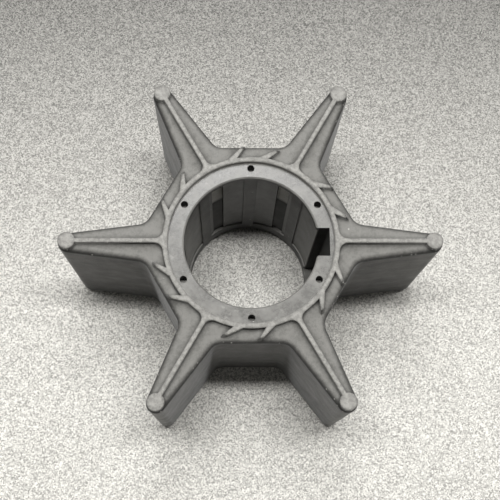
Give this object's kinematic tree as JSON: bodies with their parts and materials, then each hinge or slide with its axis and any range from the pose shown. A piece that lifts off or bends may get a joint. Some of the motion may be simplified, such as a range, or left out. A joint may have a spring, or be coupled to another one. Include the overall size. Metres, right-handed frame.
{
  "type": "flexible pump impeller",
  "caption": "Star-shaped rubber pump impeller with tapered round-tipped vanes, raised sealing ribs, small swept hub fins and a hard keyed bush moulded into its centre.",
  "frame": {"origin": "centre of the bore axis in the plane of the lower sealing ribs, which the part stands on", "axes": "+Z along the shaft axis towards the keyway's open end; +X through the middle of the keyway and one vane"},
  "size_m": [0.0806, 0.0704, 0.0394],
  "materials": {
    "insert": "smooth moulded dark grey plastic, satin",
    "rubber": "matte moulded dark grey rubber with a faint sheen"
  },
  "bodies": {
    "root": {"hub_insert": "insert", "vane_moulding": "rubber"}
  },
  "joints": []
}
